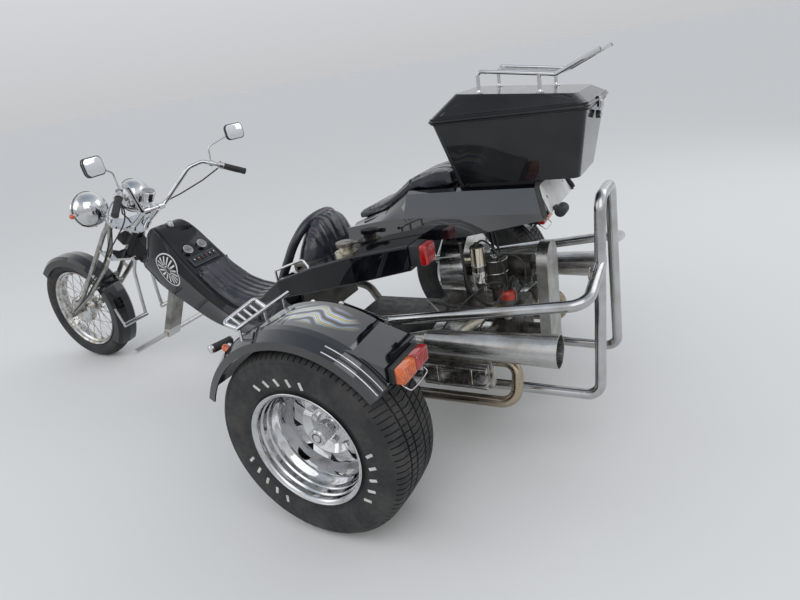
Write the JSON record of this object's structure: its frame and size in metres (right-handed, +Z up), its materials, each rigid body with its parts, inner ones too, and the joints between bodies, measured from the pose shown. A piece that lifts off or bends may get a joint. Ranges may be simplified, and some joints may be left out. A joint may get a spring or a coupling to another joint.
{
  "type": "motorized trike",
  "caption": "Three-wheeled road trike: raked fork with a spoked front wheel, low black body with saddle, open flat engine behind wide rear tyres, guard tubes and a tail case.",
  "frame": {"origin": "on the ground, in the middle of the vehicle's length and width", "axes": "+X forward along the direction of travel, +Y to the rider's left, +Z up"},
  "size_m": [3.417, 1.778, 1.3735],
  "materials": {
    "tyre_rubber": "matt, worn",
    "bright_chrome": "mirror plated",
    "black_gloss": "deep black gloss over moulded shells",
    "plain_steel": "brushed and polished",
    "black_rubber": "matt",
    "dark_plastic": "satin dark plastic",
    "lamp_plastic": "glossy red and amber lenses on black bases",
    "seat_vinyl": "glossy blue-black seat vinyl",
    "engine_iron": "greasy cast metal",
    "engine_alloy": "polished",
    "engine_tin": "black painted sheet with a polished band",
    "plate_white": "blank painted plate"
  },
  "bodies": {
    "chassis": {"belt_guard": "engine_alloy", "body_tub": "black_gloss", "carburettor": "engine_alloy", "chrome_rails": "bright_chrome", "crankcase": "engine_iron", "cylinders": "engine_iron", "dash": "dark_plastic", "distributor": "dark_plastic", "exhausts": "plain_steel", "fan_shroud": "engine_tin", "filler_cap": "plain_steel", "foot_controls": "plain_steel", "ignition_coil": "bright_chrome", "lamps": "lamp_plastic", "main_frame": "plain_steel", "number_plate": "plate_white", "passenger_seat": "seat_vinyl", "rear_axle": "engine_iron", "rear_deck": "black_gloss", "rear_fenders": "black_gloss", "rear_hoop": "plain_steel", "rider_backrest": "seat_vinyl", "rider_seat": "seat_vinyl", "side_tubes": "plain_steel", "top_case_tub": "black_gloss", "valve_covers": "engine_alloy"},
    "steering": {"fork_legs": "plain_steel", "fork_yokes": "plain_steel", "handlebar": "bright_chrome", "grips": "black_rubber", "bar_controls": "bright_chrome", "mirrors": "bright_chrome", "headlamps": "bright_chrome", "front_indicators": "lamp_plastic", "horn": "dark_plastic", "control_cables": "black_rubber", "front_fender": "black_gloss"},
    "front_wheel": {"front_tyre": "tyre_rubber", "front_rim": "bright_chrome"},
    "rear_left_wheel": {"rear_tyre_left": "tyre_rubber", "rear_rim_left": "bright_chrome"},
    "rear_right_wheel": {"rear_tyre_right": "tyre_rubber", "rear_rim_right": "bright_chrome"},
    "case_lid": {"top_case_lid": "black_gloss", "lid_rack": "bright_chrome"}
  },
  "joints": [
    {"name": "steering", "type": "hinge", "parent": "chassis", "child": "steering", "pos_m": [0.7525, 0, 0.748], "axis": [-0.7071, 0, 0.7071], "range_deg": [-35, 35]},
    {"name": "front_wheel", "type": "hinge", "parent": "steering", "child": "front_wheel", "pos_m": [1.3835, 0, 0.325], "axis": [0, 1, 0], "continuous": true},
    {"name": "rear_left_wheel", "type": "hinge", "parent": "chassis", "child": "rear_left_wheel", "pos_m": [-0.9195, 0.755, 0.346], "axis": [0, 1, 0], "continuous": true},
    {"name": "rear_right_wheel", "type": "hinge", "parent": "chassis", "child": "rear_right_wheel", "pos_m": [-0.9195, -0.755, 0.346], "axis": [0, 1, 0], "continuous": true},
    {"name": "case_lid", "type": "hinge", "parent": "chassis", "child": "case_lid", "pos_m": [-1.1455, 0, 1.205], "axis": [0, 1, 0], "range_deg": [0, 60]}
  ]
}
